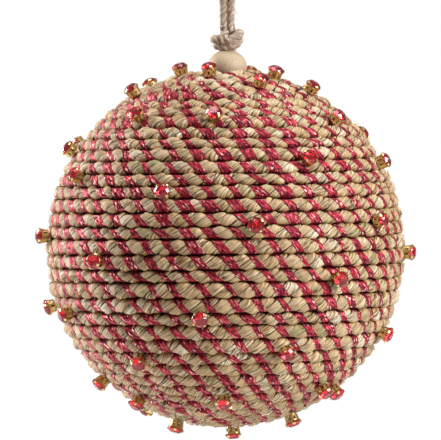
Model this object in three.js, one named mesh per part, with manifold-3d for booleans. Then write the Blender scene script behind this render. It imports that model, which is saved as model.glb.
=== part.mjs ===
// Hanging ball ornament: one long twisted rush rope wound in a spiral round a sphere and set with claw-set
// stones, with a turned wooden bead in its top and a knotted loop of jute twine above the bead.
// Units are millimetres, +Z is up and the front faces -Y. The origin is the underside of the top bend of
// the hanging loop, where a hook or a twig carries the ornament.
import * as THREE from 'three';
import { mergeVertices } from 'three/addons/utils/BufferGeometryUtils.js';
import Module from 'manifold-3d';

const wasm = await Module();
wasm.setup();

// Wound ball. Turns are counted from the rope's lower end, and a turn's edges are the crevices beside it.
const BALL_DIAMETER = 120;
const ROPE_DIAMETER = 4.6;
const CREVICE_DEPTH = 1.7;
const CREST_FLAT_DEPTH = 0.1;
const START_LATITUDE = -88.9;
const START_LONGITUDE = -40;
const TURNS = 36.5;
const SEGMENTS_PER_TURN = 25;
const POLE_DEPTH = 2;

// Each wave of the rope's thickness: shift in turns, wave length in turns, and the turn at its crest
const THICKNESS_WAVES = [
  [0.2, 24, 19.1],
  [0.05, 3.3, 0.4],
  [0.035, 0.73, 0.2],
  [0.025, 0.37, 0.1],
];

// Across one turn: the lower crevice, then the two shoulders of the crest
const ROW_PROFILE = [
  { across: 0, depth: CREVICE_DEPTH },
  { across: 0.29, depth: CREST_FLAT_DEPTH },
  { across: 0.71, depth: CREST_FLAT_DEPTH },
];

// Rope end tucked into the middle of the underside
const TUCK_RADIUS = 3.6;
const TUCK_THICKNESS = 4.2;
const TUCK_DEPTH = 0.4;

// Hanger, whose axis passes a little to the right of the ball's middle
const LOOP_TOP_ABOVE_BALL_CENTRE = 108;
const HANGER_OFFSET = 0.6;
const BEAD_DIAMETER = 13;
const BEAD_HEIGHT = 11.4;
const BEAD_END_FLAT_RADIUS = 1.8;
const BEAD_CENTRE_ABOVE_BALL_CENTRE = 60.5;
const TWINE_DIAMETER = 2.4;
const LOOP_BEND_RADIUS = 5.5;
const LOOP_BEND_POINTS = 9;
const LOOP_STEPS = 32;
const CLEARANCE = 0.3;

// One side of the twine loop, from the knot up: distance from the axis, and height over the ball's centre
const LOOP_SIDE = [
  [1.38, 73.9],
  [1.38, 76],
  [1.38, 79],
  [1.4, 82],
  [1.5, 85],
  [1.85, 88],
  [2.5, 91],
  [3.4, 94],
  [4.35, 97],
  [5.1, 100],
  [5.45, 102],
];

// Lobes of the overhand knot: centre across and over the ball's centre, and half sizes across, deep and high
const KNOT_LOBES = [
  { x: 2.1, z: 70.3, halfWidth: 3.2, halfDepth: 2.7, halfHeight: 3.3 },
  { x: -2.4, z: 68.8, halfWidth: 2.8, halfDepth: 2.4, halfHeight: 2.3 },
  { x: 0, z: 67.6, halfWidth: 3.2, halfDepth: 2.9, halfHeight: 1.9 },
  { x: -0.3, z: 71, halfWidth: 2.5, halfDepth: 1.9, halfHeight: 2.5 },
];

// Claw-set stone: outline from its seat on the rope up to the flat top of the stone
const STONE_SEAT_RADIUS = 2.1;
const STONE_RIM_RADIUS = 2.9;
const STONE_RIM_HEIGHT = 2.7;
const STONE_TABLE_RADIUS = 1.6;
const STONE_HEIGHT = 4;
const STONE_SIDES = 8;

// Places of the stones on the ball: degrees to the right of the front, and degrees above the middle
const FRONT_STONES = [
  [-60, 74], [-18, 74], [25, 64], [54, 71],
  [-69, 58], [-42, 46], [-5, 46], [57, 45], [67, 60],
  [-82, 32], [-60, 23], [-20, 18], [30, 29], [73, 28],
  [-80, 4], [-43, -3], [9, 8], [37, -8], [56, 9], [80, -1],
  [-82, -18], [-65, -20], [-8, -20], [22, -32], [74, -27],
  [-74, -46], [-34, -36], [-1, -53], [53, -49], [66, -50],
  [-55, -55], [-64, -73], [13, -80], [66, -67],
];
const BACK_STONES = [
  [155, 72], [-165, 66], [-120, 62], [120, 58],
  [165, 50], [-150, 40], [110, 38], [-105, 34],
  [150, 24], [-172, 18], [-128, 12], [122, 8],
  [165, -4], [-150, -12], [-112, -16], [128, -22],
  [-178, -34], [-140, -40], [115, -52], [150, -50],
  [-165, -62], [-115, -62],
];

const BALL_RADIUS = BALL_DIAMETER / 2;
const TWINE_RADIUS = TWINE_DIAMETER / 2;
const ROPE_CENTRE_RADIUS = BALL_RADIUS - ROPE_DIAMETER / 2;
const ROW_PITCH = THREE.MathUtils.radToDeg(ROPE_DIAMETER / ROPE_CENTRE_RADIUS);

const ropeMaterial = new THREE.MeshStandardMaterial({ color: 0xc8b285, roughness: 0.8, metalness: 0 });
const beadMaterial = new THREE.MeshStandardMaterial({ color: 0xddbe94, roughness: 0.6, metalness: 0 });
const twineMaterial = new THREE.MeshStandardMaterial({ color: 0xb59a7e, roughness: 0.95, metalness: 0 });
const stoneMaterial = new THREE.MeshStandardMaterial({ color: 0xb0102a, roughness: 0.15, metalness: 0.2 });

function directionTo(longitude, latitude) {
  const around = THREE.MathUtils.degToRad(longitude);
  const up = THREE.MathUtils.degToRad(latitude);
  return new THREE.Vector3(
    Math.sin(around) * Math.cos(up),
    -Math.cos(around) * Math.cos(up),
    Math.sin(up),
  );
}

function toSolid(geometry) {
  geometry.deleteAttribute('normal');
  geometry.deleteAttribute('uv');
  const merged = mergeVertices(geometry, 1e-4);
  return new wasm.Manifold(new wasm.Mesh({
    numProp: 3,
    vertProperties: new Float32Array(merged.attributes.position.array),
    triVerts: new Uint32Array(merged.index.array),
  }));
}

function toGeometry(solid) {
  const mesh = solid.getMesh();
  const geometry = new THREE.BufferGeometry();
  geometry.setAttribute('position', new THREE.BufferAttribute(mesh.vertProperties, mesh.numProp));
  geometry.setIndex(new THREE.BufferAttribute(mesh.triVerts, 1));
  geometry.computeVertexNormals();
  return geometry;
}

// Latitude of the crevice below the rope after a number of turns. Where the rope is thicker, its turn
// takes more room, and the turn above it starts higher.
function creviceLatitude(turn) {
  let shift = 0;
  for (const [amount, length, crest] of THICKNESS_WAVES) {
    shift += amount * Math.cos((2 * Math.PI * (turn - crest)) / length);
  }
  return START_LATITUDE + ROW_PITCH * (turn + shift);
}

// Skin of the winding: a strip three points wide that climbs in one spiral, each turn joined to the next
// along their crevice, with the rope's two ends and both poles closed
function windingSkin() {
  const steps = Math.round(TURNS * SEGMENTS_PER_TURN);
  const across = ROW_PROFILE.length;
  const points = [];

  function addPoint(step, fraction, depth) {
    const turn = step / SEGMENTS_PER_TURN;
    const lower = creviceLatitude(turn);
    const upper = creviceLatitude(turn + 1);
    const direction = directionTo(START_LONGITUDE + 360 * turn, lower + fraction * (upper - lower));
    points.push(direction.multiplyScalar(BALL_RADIUS - depth));
  }

  for (let step = 0; step <= steps; step += 1) {
    for (const corner of ROW_PROFILE) {
      addPoint(step, corner.across, corner.depth);
    }
  }
  for (let step = steps + 1; step <= steps + SEGMENTS_PER_TURN; step += 1) {
    addPoint(step, 0, CREVICE_DEPTH);
  }
  const southPole = points.push(new THREE.Vector3(0, 0, POLE_DEPTH - BALL_RADIUS)) - 1;
  const northPole = points.push(new THREE.Vector3(0, 0, BALL_RADIUS - POLE_DEPTH)) - 1;

  function at(step, place) {
    if (place === across) {
      return at(step + SEGMENTS_PER_TURN, 0);
    }
    return step <= steps ? step * across + place : (steps + 1) * across + step - steps - 1;
  }

  const triangles = [];
  for (let step = 0; step < steps; step += 1) {
    for (let place = 0; place < across; place += 1) {
      triangles.push(at(step, place), at(step + 1, place), at(step + 1, place + 1));
      triangles.push(at(step, place), at(step + 1, place + 1), at(step, place + 1));
    }
  }
  for (let step = 0; step < SEGMENTS_PER_TURN; step += 1) {
    triangles.push(southPole, at(step + 1, 0), at(step, 0));
    const last = steps - SEGMENTS_PER_TURN + step;
    triangles.push(northPole, at(last, across), at(last + 1, across));
  }
  triangles.push(at(0, 0), at(0, 1), at(0, 2));
  triangles.push(at(0, 0), at(0, 2), at(0, 3));
  triangles.push(at(0, 0), at(0, 3), southPole);
  triangles.push(at(steps, 3), at(steps, 2), at(steps, 1));
  triangles.push(at(steps, 3), at(steps, 1), at(steps, 0));
  triangles.push(at(steps, 3), at(steps, 0), northPole);

  const geometry = new THREE.BufferGeometry();
  geometry.setFromPoints(points);
  geometry.setIndex(triangles);
  return geometry;
}

function ellipsoid(halfWidth, halfDepth, halfHeight, sides, rings) {
  const geometry = new THREE.SphereGeometry(1, sides, rings);
  geometry.rotateX(Math.PI / 2);
  geometry.scale(halfWidth, halfDepth, halfHeight);
  return geometry;
}

// Turned bead with a small flat at each end, or the space it needs when it is made larger by a clearance
function beadShape(clearance) {
  const radius = BEAD_DIAMETER / 2 + clearance;
  const halfHeight = BEAD_HEIGHT / 2 + clearance;
  const flatAngle = Math.acos(BEAD_END_FLAT_RADIUS / (BEAD_DIAMETER / 2));
  const arcPoints = 9;
  const profile = [new THREE.Vector2(0, -halfHeight * Math.sin(flatAngle))];
  for (let point = 0; point < arcPoints; point += 1) {
    const angle = flatAngle * ((2 * point) / (arcPoints - 1) - 1);
    profile.push(new THREE.Vector2(radius * Math.cos(angle), halfHeight * Math.sin(angle)));
  }
  profile.push(new THREE.Vector2(0, halfHeight * Math.sin(flatAngle)));
  const geometry = new THREE.LatheGeometry(profile, 20);
  geometry.rotateX(Math.PI / 2);
  return geometry;
}

function makeWinding() {
  const tuck = ellipsoid(TUCK_RADIUS, TUCK_RADIUS, TUCK_THICKNESS / 2, 10, 6);
  tuck.translate(0, 0, TUCK_DEPTH + TUCK_THICKNESS / 2 - BALL_RADIUS);
  const beadSpace = beadShape(CLEARANCE);
  beadSpace.translate(HANGER_OFFSET, 0, BEAD_CENTRE_ABOVE_BALL_CENTRE);
  const solid = toSolid(windingSkin()).add(toSolid(tuck)).subtract(toSolid(beadSpace));
  const winding = new THREE.Mesh(toGeometry(solid), ropeMaterial);
  winding.name = 'rope_winding';
  return winding;
}

function makeBead() {
  const bead = new THREE.Mesh(beadShape(0), beadMaterial);
  bead.name = 'wooden_bead';
  bead.position.z = BEAD_CENTRE_ABOVE_BALL_CENTRE;
  return bead;
}

function makeKnot() {
  let solid = null;
  for (const lobe of KNOT_LOBES) {
    const shape = ellipsoid(lobe.halfWidth, lobe.halfDepth, lobe.halfHeight, 8, 6);
    shape.translate(lobe.x, 0, lobe.z);
    solid = solid === null ? toSolid(shape) : solid.add(toSolid(shape));
  }
  const beadSpace = beadShape(CLEARANCE);
  beadSpace.translate(0, 0, BEAD_CENTRE_ABOVE_BALL_CENTRE);
  const knot = new THREE.Mesh(toGeometry(solid.subtract(toSolid(beadSpace))), twineMaterial);
  knot.name = 'hanger_knot';
  return knot;
}

// Route of the twine: up the left side, round the top bend and down the right side
function loopRoute() {
  const bendCentre = LOOP_TOP_ABOVE_BALL_CENTRE + TWINE_RADIUS - LOOP_BEND_RADIUS;
  const route = LOOP_SIDE.map(([out, height]) => new THREE.Vector3(-out, 0, height));
  for (let point = 0; point < LOOP_BEND_POINTS; point += 1) {
    const angle = Math.PI * (1 - point / (LOOP_BEND_POINTS - 1));
    route.push(new THREE.Vector3(
      LOOP_BEND_RADIUS * Math.cos(angle),
      0,
      bendCentre + LOOP_BEND_RADIUS * Math.sin(angle),
    ));
  }
  for (const [out, height] of [...LOOP_SIDE].reverse()) {
    route.push(new THREE.Vector3(out, 0, height));
  }
  return new THREE.CatmullRomCurve3(route);
}

function makeLoop() {
  const sides = 8;
  const section = new THREE.Shape();
  for (let side = 0; side < sides; side += 1) {
    const angle = (2 * Math.PI * (side + 0.5)) / sides;
    const corner = [TWINE_RADIUS * Math.cos(angle), TWINE_RADIUS * Math.sin(angle)];
    if (side === 0) {
      section.moveTo(...corner);
    } else {
      section.lineTo(...corner);
    }
  }
  section.closePath();
  const geometry = new THREE.ExtrudeGeometry(section, { steps: LOOP_STEPS, extrudePath: loopRoute() });
  const loop = new THREE.Mesh(geometry, twineMaterial);
  loop.name = 'hanger_loop';
  return loop;
}

function stoneShape() {
  const profile = [
    new THREE.Vector2(0, 0),
    new THREE.Vector2(STONE_SEAT_RADIUS, 0),
    new THREE.Vector2(STONE_RIM_RADIUS, STONE_RIM_HEIGHT),
    new THREE.Vector2(STONE_TABLE_RADIUS, STONE_HEIGHT),
    new THREE.Vector2(0, STONE_HEIGHT),
  ];
  return new THREE.LatheGeometry(profile, STONE_SIDES);
}

// Stones stand square to the ball, their seats just clear of the rope's crest
function makeStones() {
  const geometry = stoneShape();
  const stoneAxis = new THREE.Vector3(0, 1, 0);
  return [...FRONT_STONES, ...BACK_STONES].map(([longitude, latitude], index) => {
    const stone = new THREE.Mesh(geometry, stoneMaterial);
    const outward = directionTo(longitude, latitude);
    stone.name = `stone_${String(index + 1).padStart(2, '0')}`;
    stone.quaternion.setFromUnitVectors(stoneAxis, outward);
    stone.position.copy(outward.multiplyScalar(BALL_RADIUS - CREST_FLAT_DEPTH + CLEARANCE));
    return stone;
  });
}

const ornament = new THREE.Group();
const ball = new THREE.Group();
ball.position.set(-HANGER_OFFSET, 0, -LOOP_TOP_ABOVE_BALL_CENTRE);
ball.add(makeWinding(), ...makeStones());
const hanger = new THREE.Group();
hanger.position.z = -LOOP_TOP_ABOVE_BALL_CENTRE;
hanger.add(makeBead(), makeKnot(), makeLoop());
ornament.add(ball, hanger);

export default ornament;
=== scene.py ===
"""Hanging ball ornament of wound rush rope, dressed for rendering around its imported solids.

Lengths in the settings are metres, as Blender's are. The ball hangs from the origin, the underside of its
twine loop, and its front faces -Y.
"""

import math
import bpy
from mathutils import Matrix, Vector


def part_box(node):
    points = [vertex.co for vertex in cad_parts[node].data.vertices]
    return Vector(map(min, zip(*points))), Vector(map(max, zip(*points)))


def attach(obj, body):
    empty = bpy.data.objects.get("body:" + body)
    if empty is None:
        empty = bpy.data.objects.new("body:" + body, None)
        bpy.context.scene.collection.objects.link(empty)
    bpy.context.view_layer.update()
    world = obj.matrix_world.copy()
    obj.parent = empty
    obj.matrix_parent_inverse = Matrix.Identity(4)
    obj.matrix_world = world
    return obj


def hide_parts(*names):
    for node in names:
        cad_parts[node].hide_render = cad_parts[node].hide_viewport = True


bl_info = {
    "name": "Wound Ball Ornament",
    "version": (1, 0, 0),
    "blender": (4, 5, 0),
    "location": "View3D > Sidebar > Ornament",
    "description": "Builds a ribbon-wrapped rush rope ball with claw-set stones, a bead and a twine loop",
    "category": "Add Mesh",
}

import bmesh
import bpy
import numpy as np
from bpy.props import FloatProperty, FloatVectorProperty, IntProperty, PointerProperty
from mathutils import Matrix, Vector

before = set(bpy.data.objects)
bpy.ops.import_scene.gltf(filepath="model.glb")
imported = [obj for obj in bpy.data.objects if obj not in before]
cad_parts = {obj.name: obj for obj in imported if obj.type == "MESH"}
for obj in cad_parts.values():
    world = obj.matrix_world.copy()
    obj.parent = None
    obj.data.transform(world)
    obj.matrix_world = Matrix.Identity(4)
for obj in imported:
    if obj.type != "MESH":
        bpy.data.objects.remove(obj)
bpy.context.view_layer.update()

MM = 0.001
IMAGE_SIZE = (441, 440)

# Places that the solids and this file share, in millimetres as they are drawn
LOOP_TOP_ABOVE_BALL_CENTRE = 108.0
HANGER_OFFSET = 0.6
BALL_CENTRE = np.array([-HANGER_OFFSET, 0.0, -LOOP_TOP_ABOVE_BALL_CENTRE]) * MM
BEAD_CENTRE_ABOVE_BALL_CENTRE = 60.5

# Spiral of the rope, in turns from its lower end and degrees, and the waves of its thickness: shift in
# turns, wave length in turns, and the turn at its crest
START_LATITUDE = -88.9
START_LONGITUDE = -40.0
TURNS = 36.5
THICKNESS_WAVES = ((0.2, 24, 19.1), (0.05, 3.3, 0.4), (0.035, 0.73, 0.2), (0.025, 0.37, 0.1))

# Turns between two points of the rope's route
ROUTE_STEP = 0.002

# The rope's ends run on past the spiral and dive under it: length in turns, share of the thickness that they
# lose, and depth in millimetres. The upper end dives faster at first.
START_TAIL_TURNS = 0.7
START_TAIL_THINNING = 0.45
START_TAIL_DEPTH = 3.0
END_TAIL_TURNS = 0.8
END_TAIL_THINNING = 0.3
END_TAIL_DEPTH = 6.5
END_TAIL_STEEPNESS = 1.6

# Share of a change in the rope's half thickness by which its crest moves out
CREST_SHARE = 0.6

# Strips that the rope is twisted from, and faces round the rope
STRIPS = 3
ROPE_SIDES = 13

# Shares of the faces round the rope, from its outermost line, and the degrees round it that they reach
SIDE_SHARES = (0, 0.69, 0.846, 1)
SIDE_DEGREES = (0, 94, 115, 180)

# Groove at a seam or a fold of the rope: depth, and distance over which it fades, in millimetres
GROOVE_DEPTH = 0.3
GROOVE_FADE = 0.3

# How much the fanning of folds differs between strips, in millimetres for each radian round the rope. The
# most fanned strips lean by half of it, one way or the other.
FOLD_FAN = 3.0

# Section of the rope: the power that makes it squarer than round, its height against a round one's, and what
# is added to both where it is pressed against its neighbours
SQUARENESS = 3.2
PRESSED_SQUARENESS = 1.5
SECTION_HEIGHT = 0.995
PRESSED_HEIGHT = 0.065

# Where the rope starts to be pressed, and over how much, in right angles from its outermost line
PRESSED_FROM = 0.8
PRESSED_OVER = 0.4

# Pull of the ribbon on the rope: reach in widths of the ribbon, and how steeply it ends
WAIST_REACH = 0.84
WAIST_STEEPNESS = 8

# Swell of the rope between two wraps, and its unevenness, in millimetres
SWELL = 0.13
UNEVENNESS = 0.16

# Shadow on the rope and on the ribbon: where it starts and over how much, in right angles from outside
ROPE_SHADOW = (0.4, 0.66)
RIBBON_SHADOW = (0.68, 0.4)

# Faces round the ribbon, and how many of them lie outside
RIBBON_SIDES = 7
RIBBON_SIDES_OUTSIDE = 5

# Millimetres of ribbon in one wrap, its height over the rope, the drop at its edges and its ripples
RIBBON_WRAP_LENGTH = 15
RIBBON_LIFT = 0.1
RIBBON_EDGE_DROP = 0.05
RIBBON_RIPPLE = 0.07

# Rings of points along one loose sliver, and corners of its section
SLIVER_RINGS = 6
SLIVER_CORNERS = 4

# Share of the ribbon's pitch that its wraps move round the ball from one turn of the rope to the next
WRAP_DRIFT = 0.24

# One side of the twine loop, from the knot up: distance from the axis, and height over the ball's centre
LOOP_SIDE = (
    (1.2, 73.9),
    (1.2, 76),
    (1.22, 79),
    (1.26, 82),
    (1.4, 85),
    (1.8, 88),
    (2.5, 91),
    (3.4, 94),
    (4.35, 97),
    (5.1, 100),
    (5.45, 102),
)
LOOP_BEND_RADIUS = 5.5
LOOP_BEND_POINTS = 9

# Overhand knot, from the bead's hole up to where the two strands part: across, deep and over the ball's
# centre
KNOT_ROUTE = (
    (0.2, 0.0, 65.2),
    (0.4, -0.6, 66.8),
    (-0.8, -1.7, 67.9),
    (-2.8, -1.3, 68.8),
    (-3.8, 0.2, 68.7),
    (-2.5, 1.6, 68.2),
    (0.2, 1.9, 68.6),
    (2.8, 1.4, 70.1),
    (4.0, 0.0, 70.7),
    (3.3, -1.8, 69.6),
    (1.0, -2.5, 68.2),
    (-1.0, -1.7, 68.9),
    (-0.5, -0.2, 70.3),
    (0.4, 0.4, 71.4),
    (0.4, 0.3, 72.4),
    (0.1, 0.0, 73.3),
    (0.0, 0.0, 73.9),
    (0.0, 0.0, 74.3),
)
KNOT_STRAND_OFFSET = 1.15

# Thickness of the knot's strands against the loop's: at their upper end, and from a few millimetres down
KNOT_SWELLING = (0.95, 1.1)
KNOT_TAPER = 3.0

# Turn of the two strands about each other along the knot, as pairs of length from its start in
# millimetres and degrees
KNOT_TURNS = ((0, 45), (17, 45), (21, 80), (25, 80), (30, 0))

# Twine: plies, faces round it, and millimetres between two rings of points
TWINE_PLIES = 3
TWINE_SIDES = 24
TWINE_RING_SPACING = 0.35

# Loose fibres on the loop and on the knot: how many, and radius and lengths in millimetres
LOOP_HAIRS = 800
KNOT_HAIRS = 420
HAIR_RADIUS = 0.045
HAIR_LENGTHS = (0.5, 1.8)

# Rings of points along a fibre, and its bend as a share of its length. Its first ring is narrower than its
# root by the taper, and each further ring narrows by that much more than the one before.
HAIR_STEPS = 3
HAIR_BEND = 0.8
HAIR_TAPER = 0.15

STONE_COUNT = 56
SETTING_SIDES = 24

# Setting: half the width of a claw, and where a slot lies from the middle between two claws, in degrees
CLAW_HALF_WIDTH = 15
SLOT_ANGLES = (15, 30)

# Soft boxes: name, place from the ball's centre, width and height in metres, watts, and colour
SOFT_BOXES = (
    ("soft_box_right", (0.85, -0.5, 0.45), (0.4, 0.6), 17.5, (0.88, 0.93, 1.0)),
    ("soft_box_left", (-0.9, 0.45, 0.25), (0.5, 0.8), 17.5, (1.0, 0.98, 0.99)),
    ("soft_box_top", (-0.1, -0.1, 1.0), (0.6, 0.6), 7, (1.0, 0.99, 0.99)),
)


def srgb(code):
    """Turn an sRGB colour such as "#C8B285" into the linear values that shaders take."""
    channels = [int(code[place : place + 2], 16) / 255 for place in (1, 3, 5)]
    return tuple(c / 12.92 if c <= 0.04045 else ((c + 0.055) / 1.055) ** 2.4 for c in channels)


def colour_setting(name, description, code):
    """A colour that a user can change, stored as linear values."""
    return FloatVectorProperty(
        name=name, description=description, subtype="COLOR", size=3, min=0, max=1, default=srgb(code)
    )


def length_setting(name, description, millimetres):
    """A length that a user can change, given in millimetres and stored in metres."""
    return FloatProperty(
        name=name, description=description, unit="LENGTH", precision=5, min=0, default=millimetres * MM
    )


class RopeSettings(bpy.types.PropertyGroup):
    ball_radius: length_setting("Ball radius", "Radius of the ball over the rope's crest", 60)
    diameter: length_setting("Rope diameter", "Mean thickness of the rope", 4.6)
    lay: length_setting("Lay", "Length of rope in which a strip goes once round it", 17.2)
    waist: length_setting("Ribbon waist", "How far the ribbon pulls the rope in", 0.48)
    slant: length_setting("Slant", "How far along the rope a strip has come at the rope's upper edge", 2.9)
    ridge: length_setting("Ridge", "Height of a strip's ridge over its edges", 0.7)
    fold: length_setting("Fold spacing", "Distance along the rope between the folds of a strip", 1.3)
    step: length_setting("Step", "Distance along the rope between two rings of points", 0.34)
    pieces: IntProperty(name="Pieces", description="Meshes that the rope is split into", default=4, min=1)
    slivers: IntProperty(name="Slivers", description="Loose slivers on the rope", default=420, min=0)
    straw: colour_setting("Straw", "Colour of most of the strips", "#CBAC80")
    pale: colour_setting("Pale", "Colour of the palest strips", "#E0CFAE")
    green: colour_setting("Green", "Colour of strips that kept some green", "#ADA06C")
    # Painted shade: the colour of the wedges between the strips
    seam_shade: colour_setting("Brown", "Colour between the strips", "#301606")


class RibbonSettings(bpy.types.PropertyGroup):
    pitch: length_setting("Pitch", "Distance along the rope from one wrap to the next", 8.3)
    slant: length_setting("Slant", "How far along the rope a wrap has come at the rope's lower edge", 1.6)
    width: length_setting("Width", "Width of a wrap, measured along the rope", 3.4)
    thickness: length_setting("Thickness", "Thickness of the ribbon", 0.16)
    steps: IntProperty(name="Steps", description="Rings of points in one wrap", default=12, min=6)
    red: colour_setting("Red", "Colour of most of the threads", "#9C2432")
    deep: colour_setting("Deep red", "Colour of the darkest threads", "#4E0F1C")
    bright: colour_setting("Bright red", "Colour of the lighter threads", "#CC5058")
    # Pale metallic threads, whose colour is also a painted glint
    thread_glint: colour_setting("Spark", "Colour of the metallic threads", "#F6C4BC")
    shade: colour_setting("Shade", "Colour of the ribbon deep between two turns of rope", "#3A0818")


class StoneSettings(bpy.types.PropertyGroup):
    seat_radius: length_setting("Seat radius", "Distance of a setting's seat from the ball's centre", 60.0)
    stone_radius: length_setting("Stone radius", "Radius of a stone at its girdle", 2.75)
    girdle_height: length_setting("Girdle height", "Height of a stone's girdle over the seat", 2.75)
    height: length_setting("Height", "Height of a stone's table over the seat", 4.05)
    glass: colour_setting("Glass", "Colour of the stones", "#F04A58")
    foil: colour_setting("Foil", "Colour of the foil behind the stones", "#E8A0A0")
    gold: colour_setting("Gold", "Colour of the settings", "#D8C285")


class HangerSettings(bpy.types.PropertyGroup):
    twine_diameter: length_setting("Twine diameter", "Thickness of one strand of twine", 2.4)
    twine_lay: length_setting("Twine lay", "Length of twine in which a ply goes once round it", 8.0)
    bead_radius: length_setting("Bead radius", "Radius of the wooden bead", 6.5)
    bead_half_height: length_setting("Bead half height", "Half the height of the bead's round", 5.7)
    bead_hole_radius: length_setting("Bead hole radius", "Radius of the bead's drilled hole", 1.5)
    jute: colour_setting("Jute", "Colour of most of the twine", "#B5967A")
    jute_pale: colour_setting("Pale jute", "Colour of the palest fibres", "#EBD6BE")
    # Dark jute: the darkest fibres, and the painted shade in the hollows between the plies
    jute_dark: colour_setting("Dark jute", "Colour between the plies", "#4E3625")
    wood: colour_setting("Wood", "Colour of the bead", "#B8A083")
    wood_dark: colour_setting("Dark wood", "Colour of the bead's vessels", "#A07C58")


class StageSettings(bpy.types.PropertyGroup):
    camera_distance: length_setting("Camera distance", "From the camera to the ball's centre", 1400)
    camera_height: FloatProperty(
        name="Camera height", description="Angle that the camera looks down by", unit="ROTATION",
        default=math.radians(1),
    )
    pixel: length_setting("Pixel", "Size of one pixel of the picture at the ball's centre", 0.3343)
    centre_x: FloatProperty(name="Centre x", description="Pixel column of the ball's centre", default=225.5)
    centre_y: FloatProperty(name="Centre y", description="Pixel row of the ball's centre", default=248)
    floor_drop: length_setting("Floor drop", "Height of the ball's centre over the floor", 260)
    floor_radius: length_setting("Floor radius", "Radius of the round floor", 1500)
    surroundings: FloatProperty(
        name="Surroundings", description="Light that reaches the ball from all round", default=0.2, min=0
    )
    mirrored: FloatProperty(
        name="Mirrored", description="More white that shines back from smooth surfaces", default=0.15, min=0
    )
    white: colour_setting("White", "Colour of the floor", "#E2E1DF")


def add_node(tree, kind, inputs=None, **settings):
    """Add a node. Its inputs are given by name or number, as values or as other nodes' outputs."""
    node = tree.nodes.new(kind)
    for name, value in settings.items():
        setattr(node, name, value)
    for place, value in (inputs or {}).items():
        if isinstance(value, bpy.types.NodeSocket):
            tree.links.new(value, node.inputs[place])
        else:
            node.inputs[place].default_value = value
    return node


def new_material(name, **values):
    """Make a material with one Principled shader whose own sockets hold the given values."""
    material = bpy.data.materials.new(name)
    material.use_nodes = True
    shader = material.node_tree.nodes["Principled BSDF"]
    for socket, value in values.items():
        shader.inputs[socket.replace("_", " ")].default_value = value
    return material, material.node_tree, shader


def opaque(colour):
    """A colour with full alpha, as colour sockets take it."""
    return (*colour, 1.0)


def set_ramp(node, stops):
    """Give a colour ramp its stops, as pairs of place and colour."""
    ramp = node.color_ramp
    while len(ramp.elements) > 1:
        ramp.elements.remove(ramp.elements[-1])
    ramp.elements[0].position = stops[0][0]
    ramp.elements[0].color = stops[0][1]
    for place, colour in stops[1:]:
        ramp.elements.new(place).color = colour


def place_object(name, mesh, material):
    """Put a finished mesh in the scene as a piece that rides on the ornament's one body."""
    piece = bpy.data.objects.new(name, mesh)
    bpy.context.collection.objects.link(piece)
    mesh.materials.append(material)
    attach(piece, "root")
    return piece


def smooth_faces(mesh):
    """Shade a mesh smooth all over."""
    mesh.polygons.foreach_set("use_smooth", np.ones(len(mesh.polygons), dtype=bool))


def finished_mesh(bm, name, smooth=True):
    """Turn a bmesh into a named mesh, and free it."""
    mesh = bpy.data.meshes.new(name)
    bm.to_mesh(mesh)
    bm.free()
    if smooth:
        smooth_faces(mesh)
    return mesh


def close_ends(bm):
    """Fill the open ends of tubes, and turn all faces outwards."""
    rims = [edge for edge in bm.edges if edge.is_boundary]
    bmesh.ops.holes_fill(bm, edges=rims, sides=0)
    bmesh.ops.recalc_face_normals(bm, faces=bm.faces)


def length_along(points):
    """Length along a row of points from the first to each of them."""
    steps = np.linalg.norm(np.diff(points, axis=0), axis=1)
    return np.concatenate([[0], np.cumsum(steps)])


def wander(along, spacing, seed):
    """Smooth random values from -1 to 1 at places along a length, changing over a given spacing."""
    knots = np.random.default_rng(seed).uniform(-1, 1, int(np.max(along) / spacing) + 3)
    place = np.maximum(along, 0) / spacing
    low = np.floor(place).astype(int)
    share = place - low
    share = share * share * (3 - 2 * share)
    return knots[low] * (1 - share) + knots[low + 1] * share


def unit(vectors):
    """Vectors of length one in the same directions."""
    return vectors / np.linalg.norm(vectors, axis=-1, keepdims=True)


def tube_mesh(name, along_steps, around_steps, shape):
    """Roll a grid into a closed tube.

    shape takes each point's share of the way along and around, and gives its place, its two UV values and
    a dictionary of further values for attributes.
    """
    bm = bmesh.new()
    bmesh.ops.create_grid(bm, x_segments=along_steps, y_segments=around_steps, size=0.5)
    mesh = finished_mesh(bm, name, smooth=False)
    flat = np.empty(len(mesh.vertices) * 3)
    mesh.vertices.foreach_get("co", flat)
    shares = flat.reshape(-1, 3)[:, :2] + 0.5
    places, uv, extras = shape(shares[:, 0], shares[:, 1])
    mesh.vertices.foreach_set("co", places.ravel())
    corners = np.empty(len(mesh.loops), dtype=np.int32)
    mesh.loops.foreach_get("vertex_index", corners)
    layer = mesh.uv_layers.new(name="lay")
    layer.data.foreach_set("uv", uv[corners].ravel())
    for key, values in extras.items():
        mesh.attributes.new(key, "FLOAT", "POINT").data.foreach_set("value", values)
    on_seam = np.flatnonzero((shares[:, 1] < 1e-6) | (shares[:, 1] > 1 - 1e-6))
    bm = bmesh.new()
    bm.from_mesh(mesh)
    bm.verts.ensure_lookup_table()
    bmesh.ops.remove_doubles(bm, verts=[bm.verts[index] for index in on_seam], dist=1e-7)
    close_ends(bm)
    bm.to_mesh(mesh)
    bm.free()
    smooth_faces(mesh)
    return mesh


def right_angles(angle):
    """How many right angles round the rope an angle is from its outermost line, either way."""
    return np.abs(angle) / (math.pi / 2)


def shadow(angle, start, over):
    """Shadow at an angle round the rope: none up to the start, full a stretch further in."""
    return np.clip((right_angles(angle) - start) / over, 0, 1)


def groove(distance):
    """Share of a groove's depth at a distance from its middle."""
    return np.exp(-((distance / (GROOVE_FADE * MM)) ** 2))


def slide(angle, shown, whole):
    """How far along the rope something that winds round it has come at an angle.

    It looks straight from outside, comes to the first length at the rope's edge and to the second behind.
    """
    front = np.sin(np.minimum(np.abs(angle), math.pi / 2))
    behind = np.maximum(right_angles(angle) - 1, 0)
    return np.sign(angle) * (shown * front + (whole - shown) * behind)


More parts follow.
